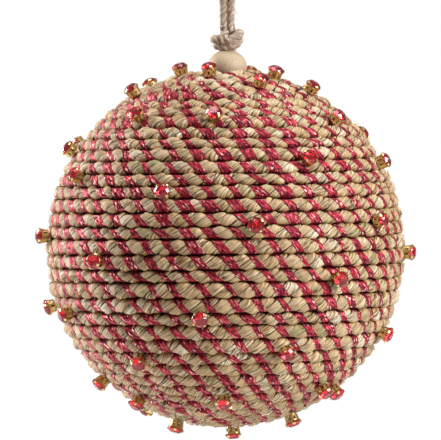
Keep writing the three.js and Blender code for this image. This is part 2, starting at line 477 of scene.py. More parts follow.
class Winding:
    """The rope's route round the ball, and any point of its surface."""

    def __init__(self, rope, ribbon):
        self.rope = rope
        self.ribbon = ribbon
        self.centre_radius = rope.ball_radius - rope.diameter / 2
        self.row_pitch = rope.diameter / self.centre_radius
        self.turn = np.arange(-START_TAIL_TURNS, TURNS + END_TAIL_TURNS, ROUTE_STEP)
        lower = self.crevice(self.turn)
        upper = self.crevice(self.turn + 1)
        latitude = (lower + upper) / 2
        self.half = (upper - lower) / 2 * self.centre_radius
        tuck = np.clip(-self.turn / START_TAIL_TURNS, 0, 1)
        dive = np.clip((self.turn - TURNS) / END_TAIL_TURNS, 0, 1)
        self.half = self.half * (1 - START_TAIL_THINNING * tuck - END_TAIL_THINNING * dive)
        crest = rope.ball_radius + CREST_SHARE * (self.half - rope.diameter / 2)
        dived = np.minimum(1, END_TAIL_STEEPNESS * dive)
        radius = crest - self.half - START_TAIL_DEPTH * MM * tuck - END_TAIL_DEPTH * MM * dived
        longitude = math.radians(START_LONGITUDE) + 2 * math.pi * self.turn
        self.outward = np.stack(
            [
                np.sin(longitude) * np.cos(latitude),
                -np.cos(longitude) * np.cos(latitude),
                np.sin(latitude),
            ],
            axis=1,
        )
        self.centre = self.outward * radius[:, None] + BALL_CENTRE
        self.along = length_along(self.centre)
        self.length = self.along[-1]
        forward = unit(np.gradient(self.centre, axis=0))
        self.outward = unit(self.outward - forward * np.sum(forward * self.outward, axis=1)[:, None])
        self.upward = np.cross(self.outward, forward)
        self.wraps = self.count_wraps(latitude, radius)
        self.chances = np.random.default_rng(17).uniform(0, 1, (4093, 6))

    def crevice(self, turn):
        """Latitude of the crevice below the rope after a number of turns."""
        shift = sum(amount * np.cos(2 * np.pi * (turn - crest) / length)
                    for amount, length, crest in THICKNESS_WAVES)
        return math.radians(START_LATITUDE) + self.row_pitch * (turn + shift)

    def count_wraps(self, latitude, radius):
        """Wraps of ribbon up to each place. From turn to turn they drift a little round the ball's front."""
        front = -START_LONGITUDE / 360
        knots = [self.turn[0]]
        counts = [0.0]
        turn_at = front + math.ceil(self.turn[0] - front)
        while turn_at < self.turn[-1] + 1:
            middle = (knots[-1] + turn_at) / 2
            around = 2 * math.pi * np.interp(middle, self.turn, radius * np.cos(latitude))
            share = turn_at - knots[-1]
            count = around * share / self.ribbon.pitch
            if share > 0.99:
                drift = WRAP_DRIFT * (1 + 1.1 * float(wander(np.array([middle]), 2.6, seed=9)[0]))
                count = max(1, round(count)) + drift
            counts.append(counts[-1] + count)
            knots.append(turn_at)
            turn_at += 1
        steady = np.interp(self.turn, knots, counts)
        steady = steady + 0.13 * wander(self.along, 11 * MM, seed=5)
        return steady + 0.16 * wander(self.along, 60 * MM, seed=6)

    def at(self, along, values):
        """Values of the route's table at lengths along the rope."""
        if values.ndim == 1:
            return np.interp(along, self.along, values)
        return np.stack([np.interp(along, self.along, column) for column in values.T], axis=1)

    def strips(self, along, angle):
        """How a place lies on its strip of rush: its relief, and values for the shader."""
        rope = self.rope
        across = along - slide(angle, rope.slant, rope.lay / 2)
        short_shift = 0.9 * MM * wander(across, 6 * MM, seed=11)
        long_shift = 2.4 * MM * wander(across, 40 * MM, seed=12)
        across = across + short_shift + long_shift
        width = rope.lay / STRIPS
        place = across / width
        strip = np.floor(place).astype(int)
        share = place - strip
        chance = self.chances[strip % len(self.chances)]
        to_seam = np.minimum(share, 1 - share) * width

        # Each strip is folded along a ridge, and its right side dives under the next one
        crest = 0.45 + 0.35 * chance[:, 3]
        rise = np.minimum(share / crest, (1 - share) / (1 - crest))
        height = rope.ridge * (0.35 + 0.65 * chance[:, 5])
        # shade marks the side past the ridge, which faces away from the light and is given painted shade in
        # its tone
        shade = np.clip((share - crest) / (1 - crest), 0, 1)

        # Folds fan out a little, each strip its own way
        fanned = across + (chance[:, 0] - 0.5) * FOLD_FAN * MM * angle
        fold_place = fanned / rope.fold
        fold = np.round(fold_place).astype(int)
        crack = self.chances[fold % len(self.chances), 1] ** 1.6 * chance[:, 2]
        off_fold = (fold_place - fold) * rope.fold
        relief = height * (rise - 0.5) - GROOVE_DEPTH * MM * groove(to_seam)
        relief -= GROOVE_DEPTH * MM * crack * groove(off_fold)

        # The painted shade in the wedge between two strips opens towards the rope's edges
        nearest = self.chances[np.round(place).astype(int) % len(self.chances), 4]
        wedge = 0.014 + 0.024 * nearest + (0.03 + 0.06 * nearest) * np.sin(angle) ** 4
        values = {
            # The strip's own random tone, less a painted shade on the side past its ridge
            "tone": 0.6 * chance[:, 4] + 0.4 * (0.5 + 0.5 * wander(along, 9 * MM, seed=13)) - 0.1 * shade,
            "coarse": 0.25 + 0.7 * chance[:, 2],
            "place": place,
            "wedge": wedge,
        }
        return relief, values, fanned

    def ribbon_width(self, wrap, angle):
        """Width of a wrap of ribbon at an angle round the rope."""
        place = wrap - angle / (2 * math.pi)
        change = 0.4 * wander(place, 1.7, seed=51) + 0.2 * wander(place, 0.35, seed=52)
        return self.ribbon.width * np.exp(change)

    def surface(self, along, angle, lift=0.0, relief=0.0):
        """Points of the rope's surface. The angle is 0 outwards and grows towards the ball's top."""
        half = self.at(along, self.half)
        # The rope is flattened a little outside and pressed square against its neighbours inside
        inside = np.clip(right_angles(angle) - PRESSED_FROM, 0, PRESSED_OVER) / PRESSED_OVER
        power = SQUARENESS + PRESSED_SQUARENESS * inside
        edge = (np.abs(np.cos(angle)) ** power + np.abs(np.sin(angle)) ** power) ** (-1 / power)
        place = self.at(along, self.wraps) + slide(angle, self.ribbon.slant / self.ribbon.pitch, 0.5)
        wrap = np.round(place)
        from_wrap = (place - wrap) * self.ribbon.pitch
        reach = WAIST_REACH * self.ribbon_width(wrap, angle)
        waist = np.exp(-((from_wrap / reach) ** WAIST_STEEPNESS))
        swell = np.cos(2 * math.pi * from_wrap / self.ribbon.pitch)
        form = relief * (1 - waist) - self.rope.waist * waist - SWELL * MM * swell
        form += UNEVENNESS * MM * wander(along + 3 * MM * np.cos(angle), 5 * MM, seed=21)
        radius = half * edge + form * (1 - inside) + lift
        height = radius * np.sin(angle) * (SECTION_HEIGHT + PRESSED_HEIGHT * inside)
        depth = radius * np.cos(angle)
        return (
            self.at(along, self.centre)
            + depth[:, None] * self.at(along, self.outward)
            + height[:, None] * self.at(along, self.upward)
        )


def rope_angle(share):
    """Angle round the rope for a share of the way round it, with most points on the side that shows."""
    centred = 2 * share - 1
    degrees = np.interp(np.abs(centred), SIDE_SHARES, SIDE_DEGREES)
    return np.sign(centred) * np.radians(degrees)


def husk_material(rope):
    """Dried rush strips: dull and silky along the fibre, each strip of its own tone, dark in its folds, with
    painted shade and highlights.
    """
    material, tree, shader = new_material(
        "Dried rush strips", Roughness=0.46, IOR=1.5, Specular_IOR_Level=0.42
    )
    tone = add_node(tree, "ShaderNodeAttribute", attribute_name="tone")
    colours = add_node(tree, "ShaderNodeValToRGB", {"Fac": tone.outputs["Fac"]})
    set_ramp(colours, [
        (0.06, opaque(rope.green)),
        (0.24, opaque(rope.straw)),
        (0.62, opaque(rope.straw)),
        (0.85, opaque(rope.pale)),
    ])

    # Bundles of fibre from 0.5 mm wide down, about 7 mm long, which part more on coarse strips
    # Their tone differs at random; the grooves between them get painted shade and the raised ones a whiter
    # painted highlight
    lay = add_node(tree, "ShaderNodeUVMap", uv_map="lay")
    fibre_place = add_node(
        tree, "ShaderNodeMapping", {"Vector": lay.outputs["UV"], "Scale": (1.9, 0.15, 1.0)}
    )
    fibre = add_node(
        tree, "ShaderNodeTexNoise",
        {"Vector": fibre_place.outputs[0], "Scale": 1.0, "Detail": 2, "Roughness": 0.65},
    )
    fibre_shade_and_highlight = add_node(tree, "ShaderNodeValToRGB", {"Fac": fibre.outputs[0]})
    set_ramp(fibre_shade_and_highlight, [
        (0.33, (0.07, 0.03, 0.01, 1)),
        (0.4, (0.46, 0.29, 0.14, 1)),
        (0.46, (0.9, 0.78, 0.6, 1)),
        (0.54, (1.03, 1.03, 1.03, 1)),
        (0.61, (1.26, 1.4, 1.66, 1)),
        (0.7, (1.42, 1.68, 2.1, 1)),
    ])
    coarse = add_node(tree, "ShaderNodeAttribute", attribute_name="coarse")
    fibred = add_node(
        tree, "ShaderNodeMix",
        {"Factor": coarse.outputs["Fac"], "A": colours.outputs[0], "B": fibre_shade_and_highlight.outputs[0]},
        data_type="RGBA", blend_type="MULTIPLY", clamp_result=True,
    )

    # Painted shade in crisp slots where the fibre has split, near 1.4 mm apart and 9 mm long
    slot_place = add_node(
        tree, "ShaderNodeMapping", {"Vector": lay.outputs["UV"], "Scale": (0.72, 0.11, 1.0)}
    )
    slot = add_node(
        tree, "ShaderNodeTexVoronoi", {"Vector": slot_place.outputs[0], "Scale": 1.0},
        voronoi_dimensions="2D", feature="DISTANCE_TO_EDGE",
    )
    slot_shade = add_node(tree, "ShaderNodeValToRGB", {"Fac": slot.outputs["Distance"]})
    set_ramp(slot_shade, [(0.035, (0.12, 0.045, 0.012, 1)), (0.1, (1.0, 1.0, 1.0, 1))])
    slotted = add_node(
        tree, "ShaderNodeMix",
        {"Factor": coarse.outputs["Fac"], "A": fibred.outputs[2], "B": slot_shade.outputs[0]},
        data_type="RGBA", blend_type="MULTIPLY",
    )

    # Painted shade: dark wedges between the strips, and a painted shadow deep between two turns
    place = add_node(tree, "ShaderNodeAttribute", attribute_name="place")
    to_seam = add_node(tree, "ShaderNodeMath", {0: place.outputs["Fac"], 1: 0.5}, operation="PINGPONG")
    wedge = add_node(tree, "ShaderNodeAttribute", attribute_name="wedge")
    off_wedge = add_node(
        tree, "ShaderNodeMath", {0: to_seam.outputs[0], 1: wedge.outputs["Fac"]}, operation="SUBTRACT"
    )
    clear = add_node(
        tree, "ShaderNodeMapRange", {"Value": off_wedge.outputs[0], "From Min": -0.008, "From Max": 0.012}
    )
    lined = add_node(
        tree, "ShaderNodeMix",
        {"Factor": clear.outputs[0], "A": opaque(rope.seam_shade), "B": slotted.outputs[2]}, data_type="RGBA",
    )
    painted_shade = add_node(tree, "ShaderNodeAttribute", attribute_name="painted_shade")
    depth_shade = add_node(tree, "ShaderNodeValToRGB", {"Fac": painted_shade.outputs["Fac"]})
    # Painted shade: warmer first, as light bounced between the turns would make it, then near black
    set_ramp(depth_shade, [
        (0.0, (1.0, 1.0, 1.0, 1)),
        (0.62, (0.95, 0.79, 0.58, 1)),
        (0.87, (0.03, 0.014, 0.006, 1)),
    ])
    deep = add_node(
        tree, "ShaderNodeMix", {"Factor": 1.0, "A": lined.outputs[2], "B": depth_shade.outputs[0]},
        data_type="RGBA", blend_type="MULTIPLY",
    )
    tree.links.new(deep.outputs[2], shader.inputs["Base Color"])
    bump = add_node(
        tree, "ShaderNodeBump", {"Height": fibre.outputs[0], "Strength": 1.0, "Distance": 0.8 * MM}
    )
    tree.links.new(bump.outputs[0], shader.inputs["Normal"])
    return material


def ribbon_material(ribbon):
    """Woven ribbon: crimson and dark threads crossed by bright metallic ones that catch the light, the
    palest painted as a glint.
    """
    material, tree, shader = new_material(
        "Red metallic ribbon", Metallic=0.4, Roughness=0.52, Specular_IOR_Level=0.15
    )
    lay = add_node(tree, "ShaderNodeUVMap", uv_map="lay")
    # Threads are near 0.2 mm wide in the real ribbon. They are drawn near 0.35 mm wide and 1.25 mm long, so
    # that they show
    weave_place = add_node(
        tree, "ShaderNodeMapping", {"Vector": lay.outputs["UV"], "Scale": (2.9, 0.8, 1.0)}
    )
    cells = add_node(
        tree, "ShaderNodeTexVoronoi", {"Vector": weave_place.outputs[0], "Scale": 1.0},
        voronoi_dimensions="2D",
    )
    chances = add_node(tree, "ShaderNodeSeparateColor", {0: cells.outputs["Color"]})
    colours = add_node(tree, "ShaderNodeValToRGB", {"Fac": chances.outputs[0]})
    set_ramp(colours, [
        (0.0, opaque(ribbon.deep)),
        (0.34, opaque(ribbon.deep)),
        (0.42, opaque(ribbon.red)),
        (0.74, opaque(ribbon.red)),
        (0.82, opaque(ribbon.bright)),
        (0.92, opaque(ribbon.bright)),
        # Painted glint on the palest metallic threads
        (0.99, opaque(ribbon.thread_glint)),
    ])

    # Painted shadow: deep between two turns of rope the ribbon is in its own shadow
    painted_shade = add_node(tree, "ShaderNodeAttribute", attribute_name="painted_shade")
    deep = add_node(
        tree, "ShaderNodeMix",
        {"Factor": painted_shade.outputs["Fac"], "A": colours.outputs[0], "B": opaque(ribbon.shade)},
        data_type="RGBA",
    )
    tree.links.new(deep.outputs[2], shader.inputs["Base Color"])

    # Each thread is tilted its own way, so that some flash and some go dark
    tilt = add_node(
        tree, "ShaderNodeMix",
        {"Factor": 0.2, "A": (0.5, 0.5, 1.0, 1.0), "B": cells.outputs["Color"]}, data_type="RGBA",
    )
    tilted = add_node(
        tree, "ShaderNodeNormalMap", {"Strength": 1.0, "Color": tilt.outputs[2]}, uv_map="lay"
    )
    tree.links.new(tilted.outputs[0], shader.inputs["Normal"])
    return material


def jute_material(hanger):
    """Jute twine: matt, hairy, fibres along each ply and painted shade in the hollows between the plies."""
    material, tree, shader = new_material(
        "Jute twine", Roughness=0.9, Specular_IOR_Level=0.25, Sheen_Weight=0.25, Sheen_Roughness=0.6
    )
    lay = add_node(tree, "ShaderNodeUVMap", uv_map="lay")
    # Bundles of fibre from 0.4 mm wide and 3 mm long down
    fibre_place = add_node(
        tree, "ShaderNodeMapping", {"Vector": lay.outputs["UV"], "Scale": (2.4, 0.34, 1.0)}
    )
    fibre = add_node(
        tree, "ShaderNodeTexNoise",
        {"Vector": fibre_place.outputs[0], "Scale": 1.0, "Detail": 4, "Roughness": 0.8},
    )
    colours = add_node(tree, "ShaderNodeValToRGB", {"Fac": fibre.outputs[0]})
    set_ramp(colours, [
        (0.37, opaque(hanger.jute_dark)),
        (0.48, opaque(hanger.jute)),
        (0.61, opaque(hanger.jute_pale)),
    ])
    # Painted shade in the hollows between the plies
    painted_shade = add_node(tree, "ShaderNodeAttribute", attribute_name="painted_shade")
    hollow = add_node(
        tree, "ShaderNodeMix",
        {"Factor": painted_shade.outputs["Fac"], "A": colours.outputs[0], "B": opaque(hanger.jute_dark)},
        data_type="RGBA",
    )
    tree.links.new(hollow.outputs[2], shader.inputs["Base Color"])
    bump = add_node(
        tree, "ShaderNodeBump", {"Height": fibre.outputs[0], "Strength": 1.0, "Distance": 0.5 * MM}
    )
    tree.links.new(bump.outputs[0], shader.inputs["Normal"])
    return material


def wood_material(hanger):
    """Bare turned maple: pale, fine grain along the bead's axis, faintly sanded."""
    material, tree, shader = new_material("Turned pale wood", Roughness=0.55, Specular_IOR_Level=0.35)
    place = add_node(tree, "ShaderNodeTexCoord")
    # Vessels about 0.3 mm apart and 2 mm long, along the axis
    grain_place = add_node(
        tree, "ShaderNodeMapping", {"Vector": place.outputs["Object"], "Scale": (3400, 3400, 520)}
    )
    grain = add_node(
        tree, "ShaderNodeTexNoise",
        {"Vector": grain_place.outputs[0], "Scale": 1.0, "Detail": 2, "Roughness": 0.6},
    )
    colours = add_node(tree, "ShaderNodeValToRGB", {"Fac": grain.outputs[0]})
    set_ramp(colours, [
        (0.32, opaque(hanger.wood_dark)),
        (0.45, opaque(hanger.wood)),
        (0.75, opaque(hanger.wood)),
    ])
    tree.links.new(colours.outputs[0], shader.inputs["Base Color"])
    bump = add_node(
        tree, "ShaderNodeBump", {"Height": grain.outputs[0], "Strength": 0.35, "Distance": 0.12 * MM}
    )
    tree.links.new(bump.outputs[0], shader.inputs["Normal"])
    return material


def glass_material(stones):
    """Cut lead glass, dyed red: clear and sharp, so that each facet is a lamp or a shadow."""
    return new_material(
        "Cut red glass", Base_Color=opaque(stones.glass), Roughness=0.06, IOR=1.5, Transmission_Weight=1.0
    )[0]


def foil_material(stones):
    """Mirror foil on the back of each stone, which throws the light out again through the glass."""
    return new_material("Mirror foil", Base_Color=opaque(stones.foil), Metallic=1.0, Roughness=0.12)[0]


def gold_material(stones):
    """Pressed gilt brass: bright and yellow, slightly uneven from the press."""
    material, tree, shader = new_material(
        "Gilt brass", Base_Color=opaque(stones.gold), Metallic=1.0, Roughness=0.26
    )
    place = add_node(tree, "ShaderNodeTexCoord")
    # Press marks about 0.6 mm apart
    marks = add_node(
        tree, "ShaderNodeTexNoise", {"Vector": place.outputs["Object"], "Scale": 1700, "Detail": 2}
    )
    bump = add_node(
        tree, "ShaderNodeBump", {"Height": marks.outputs[0], "Strength": 0.5, "Distance": 0.15 * MM}
    )
    tree.links.new(bump.outputs[0], shader.inputs["Normal"])
    return material


class ORNAMENT_OT_camera(bpy.types.Operator):
    """Place the camera at the photograph's angle, so that the ball fills the same part of the picture"""

    bl_idname = "ornament.camera"
    bl_label = "Camera"

    def execute(self, context):
        stage = context.scene.ornament_stage
        data = bpy.data.cameras.new("camera")
        camera = bpy.data.objects.new("camera", data)
        context.collection.objects.link(camera)
        back = Vector((0, -math.cos(stage.camera_height), math.sin(stage.camera_height)))
        turn = back.to_track_quat("Z", "Y")
        across = (IMAGE_SIZE[0] / 2 - stage.centre_x) * stage.pixel
        up = (stage.centre_y - IMAGE_SIZE[1] / 2) * stage.pixel
        offset = turn @ Vector((across, up, 0))
        camera.rotation_mode = "QUATERNION"
        camera.rotation_quaternion = turn
        camera.location = Vector(BALL_CENTRE) + back * stage.camera_distance + offset
        width = IMAGE_SIZE[0] * stage.pixel
        data.lens = data.sensor_width * stage.camera_distance / width
        data.clip_start = 0.05
        data.clip_end = 20
        context.scene.camera = camera
        return {"FINISHED"}


def smooth_route(points, spacing):
    """Points an even distance apart on a smooth curve through the given ones."""
    points = np.asarray(points, dtype=float)
    ends = np.vstack([2 * points[0] - points[1], points, 2 * points[-1] - points[-2]])
    share = np.linspace(0, 1, 24, endpoint=False)[:, None]
    parts = []
    for first in range(len(points) - 1):
        a, b, c, d = ends[first : first + 4]
        parts.append(
            0.5 * (2 * b + (c - a) * share + (2 * a - 5 * b + 4 * c - d) * share**2
                   + (3 * b - a - 3 * c + d) * share**3)
        )
    fine = np.vstack([*parts, points[-1:]])
    along = length_along(fine)
    even = np.linspace(0, along[-1], max(4, round(along[-1] / spacing)) + 1)
    return np.stack([np.interp(even, along, column) for column in fine.T], axis=1)


def carried_frames(route, first_side):
    """A side and an up direction at each point of a route, carried along it without twisting."""
    forward = unit(np.gradient(route, axis=0))
    side = np.empty_like(route)
    side[0] = first_side
    for place in range(len(route)):
        last = side[max(0, place - 1)]
        side[place] = last - forward[place] * np.dot(last, forward[place])
        side[place] /= np.linalg.norm(side[place])
    return side, np.cross(forward, side)


def twine_mesh(name, route, diameter, lay, seed, first_side, swelling):
    """One strand of three-ply twine along a route, swelled by a factor at each point of the route."""
    along = length_along(route)
    side, up = carried_frames(route, first_side)
    radius = diameter / 2

    def shape(share_along, share_around):
        place = share_along * (len(route) - 1)
        low = np.minimum(np.floor(place).astype(int), len(route) - 2)
        part = (place - low)[:, None]

        def between(values):
            return values[low] * (1 - part) + values[low + 1] * part

        distance = between(along[:, None])[:, 0]
        angle = 2 * math.pi * share_around
        ply = TWINE_PLIES * (distance / lay - share_around) + 0.2 * wander(distance, 3 * MM, seed)
        hollow = np.abs(np.cos(math.pi * ply)) ** 3
        bumps = wander(distance + np.cos(angle) * MM, 2 * MM, seed + 1)
        swelled = between(swelling[:, None])[:, 0]
        reach = radius * (1.1 - 0.2 * hollow) * (1 + 0.12 * bumps) * swelled
        places = (
            between(route)
            + (reach * np.cos(angle))[:, None] * between(side)
            + (reach * np.sin(angle))[:, None] * between(up)
        )
        uv = np.stack([ply * diameter / MM, distance / MM], axis=1)
        # The last value is a painted shade for the hollows between the plies
        return places, uv, {"painted_shade": np.clip(0.8 * hollow - 0.3, 0, 1)}

    steps = round(along[-1] / (TWINE_RING_SPACING * MM))
    return tube_mesh(name, steps, TWINE_SIDES, shape)


def loop_route():
    """Route of the free twine in metres: up the left side, round the top bend and down the right side."""
    drop = LOOP_TOP_ABOVE_BALL_CENTRE
    side = [(-out, 0.0, height - drop) for out, height in LOOP_SIDE]
    twine_radius = bpy.context.scene.ornament_hanger.twine_diameter / 2 / MM
    bend_centre = twine_radius - LOOP_BEND_RADIUS
    bend = []
    for point in range(LOOP_BEND_POINTS):
        angle = math.pi * (1 - point / (LOOP_BEND_POINTS - 1))
        height = bend_centre + LOOP_BEND_RADIUS * math.sin(angle)
        bend.append((LOOP_BEND_RADIUS * math.cos(angle), 0.0, height))
    down = [(-x, y, z) for x, y, z in reversed(side)]
    return np.array(side + bend + down) * MM


def hair_mesh(name, roots, directions, lengths, seed):
    """Loose fibres, each a thin bent prism, that stand out of a surface at given roots."""
    rng = np.random.default_rng(seed)
    askew = [0.3, 0.5, 0.8]
    hairs = bmesh.new()
    hair = bpy.data.meshes.new("hair")
    for root, direction, length in zip(roots, directions, lengths):
        bend = unit(rng.normal(size=3)) * length * HAIR_BEND
        bm = bmesh.new()
        ring = bmesh.ops.create_circle(bm, segments=3, radius=HAIR_RADIUS * MM)["verts"]
        first = unit(np.cross(direction, askew))
        turn = Matrix((first, np.cross(direction, first), direction)).transposed().to_4x4()
        bmesh.ops.transform(bm, verts=ring, matrix=Matrix.Translation(root) @ turn)
        edges = bm.edges[:]
        for step in range(1, HAIR_STEPS + 1):
            share = step / HAIR_STEPS
            width = 1 - HAIR_TAPER * step
            place = Vector(root + direction * length * share + bend * share * share)
            grown = bmesh.ops.extrude_edge_only(bm, edges=edges)["geom"]
            edges = [item for item in grown if isinstance(item, bmesh.types.BMEdge)]
            verts = [item for item in grown if isinstance(item, bmesh.types.BMVert)]
            middle = sum((vert.co for vert in verts), Vector()) / len(verts)
            bmesh.ops.translate(bm, verts=verts, vec=place - middle)
            bmesh.ops.scale(bm, verts=verts, vec=(width,) * 3, space=Matrix.Translation(-place))
        close_ends(bm)
        bm.to_mesh(hair)
        bm.free()
        hairs.from_mesh(hair)
    bpy.data.meshes.remove(hair)
    return finished_mesh(hairs, name)


class ORNAMENT_OT_hanger(bpy.types.Operator):
    """Make the twine loop, its knot and the loose fibres on them"""

    bl_idname = "ornament.hanger"
    bl_label = "Twine Loop and Knot"

    def execute(self, context):
        hanger = context.scene.ornament_hanger
        material = jute_material(hanger)
        down = np.array([0, 0, -LOOP_TOP_ABOVE_BALL_CENTRE]) * MM
        route = smooth_route(loop_route(), 0.4 * MM)
        even = np.ones(len(route))
        loop_mesh = twine_mesh(
            "twine_loop", route, hanger.twine_diameter, hanger.twine_lay, 31, (0, 1, 0), even
        )
        loop = place_object("twine_loop", loop_mesh, material)
        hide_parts("hanger_loop")

        # Two strands side by side, which part towards the loop's two ends
        middle = smooth_route(np.array(KNOT_ROUTE) * MM + down, 0.3 * MM)
        side, up = (vectors[::-1] for vectors in carried_frames(middle[::-1], (1, 0, 0)))
        from_start = length_along(middle)
        turn = np.radians(np.interp(from_start / MM, *zip(*KNOT_TURNS)))[:, None]
        side = side * np.cos(turn) - up * np.sin(turn)
        to_end = np.linalg.norm(middle - middle[-1], axis=1)
        parting = np.clip(1.2 - to_end / (3.2 * MM), 0, 1)[:, None]
        offset = (KNOT_STRAND_OFFSET * (1 - parting) + LOOP_SIDE[0][0] * parting) * MM
        swelling = np.interp(to_end / MM, (0, KNOT_TAPER), KNOT_SWELLING)
        strands = bmesh.new()
        for number, sign in enumerate((-1, 1)):
            strand = middle + side * offset * sign
            mesh = twine_mesh(
                "strand", strand, hanger.twine_diameter, hanger.twine_lay, 41 + number, side[0], swelling
            )
            strands.from_mesh(mesh)
            bpy.data.meshes.remove(mesh)
        knot = place_object("twine_knot", finished_mesh(strands, "twine_knot"), material)
        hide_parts("hanger_knot")

        rng = np.random.default_rng(7)
        loop_picked = route[(rng.uniform(0, 1, LOOP_HAIRS) * (len(route) - 1)).astype(int)]
        knot_picked = middle[(rng.uniform(0.1, 1, KNOT_HAIRS) * (len(middle) - 1)).astype(int)]
        roots = np.vstack([loop_picked, knot_picked])
        out = unit(rng.normal(size=(len(roots), 3)) * (1, 1, 0.7))
        roots = roots + out * hanger.twine_diameter * 0.45
        lengths = rng.uniform(*HAIR_LENGTHS, len(roots)) * MM
        fibres = hair_mesh("twine_fibres", roots, out, lengths, seed=8)
        hairs = place_object("twine_fibres", fibres, material)
        return {"FINISHED"}


class ORNAMENT_OT_bead(bpy.types.Operator):
    """Make the turned wooden bead with its drilled hole"""

    bl_idname = "ornament.bead"
    bl_label = "Wooden Bead"

    def execute(self, context):
        hanger = context.scene.ornament_hanger
        hole = hanger.bead_hole_radius
        lip = hole * 1.25
        start = math.acos(lip / hanger.bead_radius)
        bore_end = -0.7 * hanger.bead_half_height
        bore_rim = -0.95 * hanger.bead_half_height * math.sin(start)
        points = [(0.0, bore_end), (hole, bore_end), (hole, bore_rim)]
        arc = 40
        for step in range(arc + 1):
            angle = start * (2 * step / arc - 1)
            points.append((hanger.bead_radius * math.cos(angle), hanger.bead_half_height * math.sin(angle)))
        points += [(radius, -height) for radius, height in reversed(points[:3])]
        centre = Vector((0, 0, (BEAD_CENTRE_ABOVE_BALL_CENTRE - LOOP_TOP_ABOVE_BALL_CENTRE) * MM))
        bm = bmesh.new()
        verts = [bm.verts.new(centre + Vector((radius, 0, height))) for radius, height in points]
        edges = [bm.edges.new(pair) for pair in zip(verts, verts[1:])]
        bmesh.ops.spin(
            bm, geom=verts + edges, cent=centre, axis=(0, 0, 1), angle=2 * math.pi, steps=64, use_merge=True
        )
        bmesh.ops.remove_doubles(bm, verts=bm.verts, dist=1e-7)
        bmesh.ops.recalc_face_normals(bm, faces=bm.faces)
        mesh = finished_mesh(bm, "wooden_bead")
        bead = place_object("turned_bead", mesh, wood_material(hanger))
        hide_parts("wooden_bead")
        return {"FINISHED"}


class ORNAMENT_OT_rope(bpy.types.Operator):
    """Make the twisted rope, wound round the ball in one spiral"""

    bl_idname = "ornament.rope"
    bl_label = "Wound Rope"

    def execute(self, context):
        rope = context.scene.ornament_rope
        winding = Winding(rope, context.scene.ornament_ribbon)
        material = husk_material(rope)
        ends = np.linspace(0, winding.length, rope.pieces + 1)
        for number, (start, end) in enumerate(zip(ends, ends[1:]), 1):

            def shape(share_along, share_around, start=start, end=end):
                angle = rope_angle(share_around)
                along = start + share_along * (end - start) + slide(angle, rope.slant, 0.0)
                relief, values, fanned = winding.strips(along, angle)
                places = winding.surface(along, angle, relief=relief)
                # Painted shade on the rope, growing towards the crevices between its turns
                values["painted_shade"] = shadow(angle, *ROPE_SHADOW)
                return places, np.stack([fanned, along], axis=1) / MM, values

            steps = round((end - start) / rope.step)
            name = f"rope_part_{number}"
            piece = place_object(name, tube_mesh(name, steps, ROPE_SIDES, shape), material)
            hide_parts("rope_winding")
        return {"FINISHED"}


class ORNAMENT_OT_slivers(bpy.types.Operator):
    """Scatter loose slivers of rush that have come away from the rope"""

    bl_idname = "ornament.slivers"
    bl_label = "Loose Slivers"

    def execute(self, context):
        rope = context.scene.ornament_rope
        winding = Winding(rope, context.scene.ornament_ribbon)
        rng = np.random.default_rng(23)
        count = rope.slivers
        along = rng.uniform(0.01, 0.99, count) * winding.length
        angle = rng.uniform(-1.25, 1.25, count)
        # Each follows its strip of rush for a way, up or down, and lifts off the rope
        turned = rng.choice((-1, 1), count) * rng.uniform(0.5, 1.0, count)
        reach = rng.uniform(0.5, 1.0, count)
        rows = []
        for share in np.linspace(0, 1, SLIVER_RINGS):
            here = angle + turned * reach * share
            slipped = along + slide(here, rope.slant, 0) - slide(angle, rope.slant, 0)
            rise = (0.15 + 1.5 * share**2 * reach) * MM
            middle = winding.surface(slipped, here, lift=rise)
            side = winding.surface(slipped + 0.5 * MM, here, lift=rise) - middle
            rows.append((middle, unit(side)))
        width = rng.uniform(0.1, 0.26, count) * MM
        bend = rng.uniform(-0.8, 0.8, count) * MM
        bm = bmesh.new()
        for number in range(count):
            rings = []
            for place, (middle, side) in enumerate(rows):
                share = place / (SLIVER_RINGS - 1)
                half = width[number] * (1 - 0.75 * share)
                thick = 0.25 * half
                centre = middle[number] + side[number] * bend[number] * share**2
                out = unit(centre - BALL_CENTRE)
                corners = ((-half, 0), (0, thick), (half, 0), (0, -thick))
                rings.append([bm.verts.new(centre + side[number] * x + out * y) for x, y in corners])
            edges = []
            for ring in rings:
                following = ring[1:] + ring[:1]
                edges.append([bm.edges.new(pair) for pair in zip(ring, following)])
            for lower, upper in zip(edges, edges[1:]):
                bmesh.ops.bridge_loops(bm, edges=lower + upper)
        close_ends(bm)
        mesh = finished_mesh(bm, "loose_slivers")
        tones = np.repeat(rng.uniform(0.2, 1.0, count), SLIVER_RINGS * SLIVER_CORNERS)
        mesh.attributes.new("tone", "FLOAT", "POINT").data.foreach_set("value", tones)
        place_object("loose_slivers", mesh, husk_material(rope))
        return {"FINISHED"}


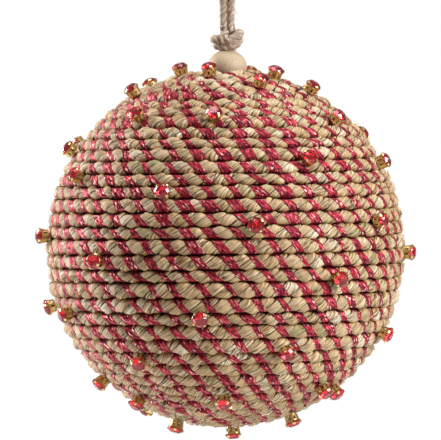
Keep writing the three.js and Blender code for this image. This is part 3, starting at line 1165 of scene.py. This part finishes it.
class ORNAMENT_OT_ribbon(bpy.types.Operator):
    """Wind the metallic ribbon round the rope"""

    bl_idname = "ornament.ribbon"
    bl_label = "Metallic Ribbon"

    def execute(self, context):
        ribbon = context.scene.ornament_ribbon
        winding = Winding(context.scene.ornament_rope, ribbon)
        wraps = winding.wraps
        rising = np.maximum.accumulate(wraps)
        first, last = rising[0] + 0.5, rising[-1] - 0.5

        def shape(share_along, share_around):
            wrap = first + share_along * (last - first)
            number = np.round(wrap)
            angle = -rope_angle(wrap - number + 0.5)
            along = np.interp(number - slide(angle, ribbon.slant / ribbon.pitch, 0.5), rising, winding.along)
            outside = RIBBON_SIDES_OUTSIDE / RIBBON_SIDES
            section = np.interp(share_around, (0, outside, 1), (0, math.pi, 2 * math.pi))
            across = winding.ribbon_width(number, angle) / 2 * np.cos(section)
            lift = RIBBON_LIFT * MM + ribbon.thickness / 2 * np.sin(section)
            lift = lift - RIBBON_EDGE_DROP * MM * np.abs(np.cos(section))
            lift = lift + RIBBON_RIPPLE * MM * np.sin(section) * wander(wrap, 0.11, seed=53)
            places = winding.surface(along + across, angle, lift=lift)
            uv = np.stack([across / MM, wrap * RIBBON_WRAP_LENGTH], axis=1)
            # Painted shadow on the ribbon deep between two turns of rope
            return places, uv, {"painted_shade": shadow(angle, *RIBBON_SHADOW)}

        steps = round((last - first) * ribbon.steps)
        mesh = tube_mesh("metallic_ribbon", steps, RIBBON_SIDES, shape)
        place_object("metallic_ribbon", mesh, ribbon_material(ribbon))
        return {"FINISHED"}


def stone_axis(number):
    """Direction from the ball's centre to a stone, read from its solid's box."""
    low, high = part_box(f"stone_{number:02d}")
    middle = (np.array(low) + np.array(high)) / 2
    return Vector(unit(middle - BALL_CENTRE))


def polar(out, angle, height):
    """A point at a distance from the axis, an angle round it and a height."""
    return Vector((out * math.cos(angle), out * math.sin(angle), height))


def setting_shape(stones):
    """A pressed cup with four claws, its seat at the origin and its axis up."""
    radius = stones.stone_radius
    height = stones.girdle_height
    bm = bmesh.new()

    # Rings of the wall: shares of the stone's radius and of its girdle's height
    wall = ((0.76, 0.0), (0.79, 0.2), (0.85, 0.62), (0.9, 0.84))
    rings = []
    for number, (out, up) in enumerate(wall):
        made = bmesh.ops.create_circle(
            bm, cap_ends=number == 0, segments=SETTING_SIDES, radius=out * radius
        )
        bmesh.ops.translate(bm, verts=made["verts"], vec=(0, 0, up * height))
        rings.append([edge for edge in bm.edges if all(vert in made["verts"] for vert in edge.verts)])
    for lower, upper in zip(rings, rings[1:]):
        bmesh.ops.bridge_loops(bm, edges=lower + upper)

    # A slot in the wall on either side of each claw
    quarter = math.pi / 2
    slot_low, slot_high = wall[1][1] * height, wall[2][1] * height
    slots = []
    for face in bm.faces:
        middle = face.calc_center_median()
        angle = math.atan2(middle.y, middle.x)
        off_panel = abs(angle - quarter * round(angle / quarter))
        beside_claw = SLOT_ANGLES[0] < math.degrees(off_panel) < SLOT_ANGLES[1]
        if beside_claw and slot_low < middle.z < slot_high:
            slots.append(face)
    bmesh.ops.delete(bm, geom=slots, context="FACES")

    # Claws rise from the rim and fold over the stone's girdle: out and up as for the wall, and width
    spread = math.radians(CLAW_HALF_WIDTH)
    claw_steps = ((1.0, 0.95, 0.85), (1.05, 1.08, 0.68), (0.98, 1.22, 0.62), (0.82, 1.31, 0.5))
    for claw in range(4):
        middle_angle = quarter * (claw + 0.5)
        rim = []
        for edge in rings[-1]:
            centre = (edge.verts[0].co + edge.verts[1].co) / 2
            turn = math.remainder(math.atan2(centre.y, centre.x) - middle_angle, 2 * math.pi)
            if abs(turn) < spread:
                rim.append(edge)
        for out, up, narrow in claw_steps:
            grown = bmesh.ops.extrude_edge_only(bm, edges=rim)["geom"]
            rim = [item for item in grown if isinstance(item, bmesh.types.BMEdge)]
            for vert in (item for item in grown if isinstance(item, bmesh.types.BMVert)):
                turn = math.remainder(math.atan2(vert.co.y, vert.co.x) - middle_angle, 2 * math.pi)
                side = 0 if abs(turn) < spread / 4 else math.copysign(1, turn)
                vert.co = polar(out * radius, middle_angle + side * spread * narrow, up * height)
    bmesh.ops.remove_doubles(bm, verts=bm.verts, dist=1e-7)
    bmesh.ops.recalc_face_normals(bm, faces=bm.faces)
    bmesh.ops.solidify(bm, geom=bm.faces[:], thickness=0.24 * MM)
    return bm


def cut_stone_shape(stones):
    """A round cut stone: table, two rows of crown facets, girdle and a pointed back that takes the foil."""
    bm = bmesh.new()
    radius = stones.stone_radius * 0.98
    girdle = stones.girdle_height
    rise = stones.height - girdle

    # Corners, share of the radius, height, and turn as a share of the step between two corners
    rings = (
        (8, 0.56, girdle + rise, 0.0),
        (8, 0.84, girdle + 0.56 * rise, 0.5),
        (16, 1.0, girdle + 0.14 * rise, 0.0),
        (16, 1.0, girdle - 0.05 * rise, 0.0),
        (8, 0.6, 0.5 * girdle, 0.5),
        (8, 0.1, 0.22 * girdle, 0.0),
    )
    for sides, out, height, turned in rings:
        verts = bmesh.ops.create_circle(bm, segments=sides, radius=out * radius)["verts"]
        turn = Matrix.Rotation(turned * 2 * math.pi / sides, 4, "Z")
        bmesh.ops.transform(bm, verts=verts, matrix=Matrix.Translation((0, 0, height)) @ turn)
    hull = bmesh.ops.convex_hull(bm, input=bm.verts)
    inner = [item for item in hull["geom_interior"] if isinstance(item, bmesh.types.BMVert)]
    bmesh.ops.delete(bm, geom=inner, context="VERTS")
    bmesh.ops.dissolve_limit(bm, angle_limit=math.radians(1), verts=bm.verts, edges=bm.edges)
    bmesh.ops.recalc_face_normals(bm, faces=bm.faces)
    for face in bm.faces:
        face.material_index = 1 if face.normal.z < -0.1 else 0
    return bm


class ORNAMENT_OT_stones(bpy.types.Operator):
    """Set the cut stones and their four-claw cups on the ball"""

    bl_idname = "ornament.stones"
    bl_label = "Stones and Settings"

    def execute(self, context):
        stones = context.scene.ornament_stones
        rng = np.random.default_rng(3)
        kinds = (
            ("claw_settings", setting_shape(stones), gold_material(stones), "gold_setting"),
            ("cut_stones", cut_stone_shape(stones), glass_material(stones), "red_stone"),
        )
        turns = rng.uniform(-0.35, 0.35, STONE_COUNT)
        tilts = rng.uniform(-0.07, 0.07, (STONE_COUNT, 2))
        for name, pattern, material, slot in kinds:
            one = bpy.data.meshes.new("one")
            pattern.to_mesh(one)
            pattern.free()
            bm = bmesh.new()
            for number in range(1, STONE_COUNT + 1):
                axis = stone_axis(number)
                north = Vector((0, 0, 1))
                side = north.cross(axis).normalized()
                upward = axis.cross(side)
                stand = Matrix((side, upward, axis)).transposed().to_4x4()
                spin = Matrix.Rotation(turns[number - 1], 4, "Z")
                tilt_x, tilt_y = tilts[number - 1]
                lean = Matrix.Rotation(tilt_x, 4, "X") @ Matrix.Rotation(tilt_y, 4, "Y")
                place = Matrix.Translation(Vector(BALL_CENTRE) + axis * stones.seat_radius)
                before = len(bm.verts)
                bm.from_mesh(one)
                bm.verts.ensure_lookup_table()
                bmesh.ops.transform(bm, verts=bm.verts[before:], matrix=place @ stand @ lean @ spin)
            mesh = finished_mesh(bm, name, smooth=False)
            bpy.data.meshes.remove(one)
            piece = place_object(name, mesh, material)
            if slot == "red_stone":
                mesh.materials.append(foil_material(stones))
            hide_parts(*[f"stone_{number:02d}" for number in range(1, STONE_COUNT + 1)])
        return {"FINISHED"}


def add_light(name, place, size, power, colour):
    """A soft box that faces the ball."""
    data = bpy.data.lights.new(name, "AREA")
    data.shape = "RECTANGLE"
    data.size, data.size_y = size
    data.energy = power
    data.color = colour
    light = bpy.data.objects.new(name, data)
    bpy.context.collection.objects.link(light)
    light.location = Vector(BALL_CENTRE) + Vector(place)
    light.rotation_mode = "QUATERNION"
    light.rotation_quaternion = Vector(place).to_track_quat("Z", "Y")


class ORNAMENT_OT_stage(bpy.types.Operator):
    """Make the pale floor, the white surroundings and the soft boxes"""

    bl_idname = "ornament.stage"
    bl_label = "Stage and Lights"

    def execute(self, context):
        stage = context.scene.ornament_stage
        bm = bmesh.new()
        bmesh.ops.create_circle(bm, cap_ends=True, segments=64, radius=stage.floor_radius)
        bmesh.ops.translate(bm, verts=bm.verts, vec=(0, 0, BALL_CENTRE[2] - stage.floor_drop))
        mesh = finished_mesh(bm, "floor", smooth=False)
        paper = new_material("White paper floor", Base_Color=opaque(stage.white), Roughness=0.8)[0]
        floor = bpy.data.objects.new("floor", mesh)
        context.collection.objects.link(floor)
        mesh.materials.append(paper)

        world = bpy.data.worlds.new("white_surroundings")
        world.use_nodes = True
        tree = world.node_tree
        rays = add_node(tree, "ShaderNodeLightPath")
        strength = add_node(
            tree, "ShaderNodeMapRange",
            {"Value": rays.outputs["Is Camera Ray"], "To Min": stage.surroundings, "To Max": 1.0},
        )
        mirrored = add_node(
            tree, "ShaderNodeMath",
            {0: rays.outputs["Is Glossy Ray"], 1: stage.mirrored, 2: strength.outputs[0]},
            operation="MULTIPLY_ADD",
        )
        background = tree.nodes["Background"]
        background.inputs["Color"].default_value = (1, 1, 1, 1)
        tree.links.new(mirrored.outputs[0], background.inputs["Strength"])
        context.scene.world = world
        context.scene.view_settings.view_transform = "Standard"

        for soft_box in SOFT_BOXES:
            add_light(*soft_box)
        return {"FINISHED"}


class ORNAMENT_PT_panel(bpy.types.Panel):
    """Lists the ornament's operators in the order that they run"""

    bl_idname = "ORNAMENT_PT_panel"
    bl_label = "Wound Ball Ornament"
    bl_space_type = "VIEW_3D"
    bl_region_type = "UI"
    bl_category = "Ornament"

    def draw(self, context):
        for operator in OPERATORS:
            self.layout.operator(operator.bl_idname)


OPERATORS = (
    ORNAMENT_OT_camera,
    ORNAMENT_OT_hanger,
    ORNAMENT_OT_bead,
    ORNAMENT_OT_rope,
    ORNAMENT_OT_slivers,
    ORNAMENT_OT_ribbon,
    ORNAMENT_OT_stones,
    ORNAMENT_OT_stage,
)
SETTINGS = {
    "ornament_rope": RopeSettings,
    "ornament_ribbon": RibbonSettings,
    "ornament_stones": StoneSettings,
    "ornament_hanger": HangerSettings,
    "ornament_stage": StageSettings,
}


def register():
    """Register the settings, the operators and the panel."""
    for group in SETTINGS.values():
        bpy.utils.register_class(group)
    for name, group in SETTINGS.items():
        setattr(bpy.types.Scene, name, PointerProperty(type=group))
    for operator in OPERATORS:
        bpy.utils.register_class(operator)
    bpy.utils.register_class(ORNAMENT_PT_panel)


def unregister():
    """Take away what register added."""
    bpy.utils.unregister_class(ORNAMENT_PT_panel)
    for operator in reversed(OPERATORS):
        bpy.utils.unregister_class(operator)
    for name, group in SETTINGS.items():
        delattr(bpy.types.Scene, name)
        bpy.utils.unregister_class(group)


def main():
    """Build the whole ornament."""
    register()
    bpy.ops.ornament.camera()
    bpy.ops.ornament.hanger()
    bpy.ops.ornament.bead()
    bpy.ops.ornament.rope()
    bpy.ops.ornament.slivers()
    bpy.ops.ornament.ribbon()
    bpy.ops.ornament.stones()
    bpy.ops.ornament.stage()


if __name__ == "__main__":
    main()
